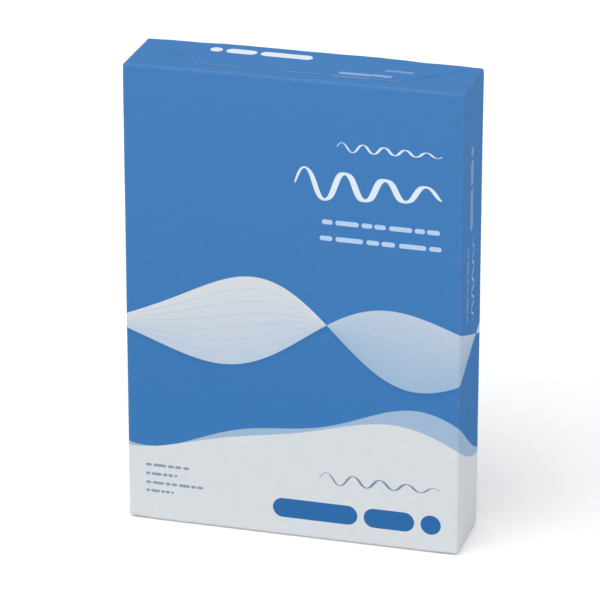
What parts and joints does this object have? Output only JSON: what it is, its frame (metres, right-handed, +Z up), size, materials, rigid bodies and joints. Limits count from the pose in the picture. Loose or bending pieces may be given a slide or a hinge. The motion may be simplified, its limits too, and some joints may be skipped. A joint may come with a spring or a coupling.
{
  "type": "ream of paper",
  "caption": "Sealed block of office copy paper in a printed blue and pale grey wrapper with folded ends, standing on one short end.",
  "frame": {"origin": "middle of the pack's footprint, on the surface that it stands on", "axes": "+Z up along the long side of the sheets, -Y out of the printed front, +X to the right as the front is seen"},
  "size_m": [0.2108, 0.051, 0.2998],
  "materials": {
    "printed_wrapper": "smooth coated paper, satin, printed blue over pale grey"
  },
  "bodies": {
    "root": {"sealed_ream": "printed_wrapper"}
  },
  "joints": []
}
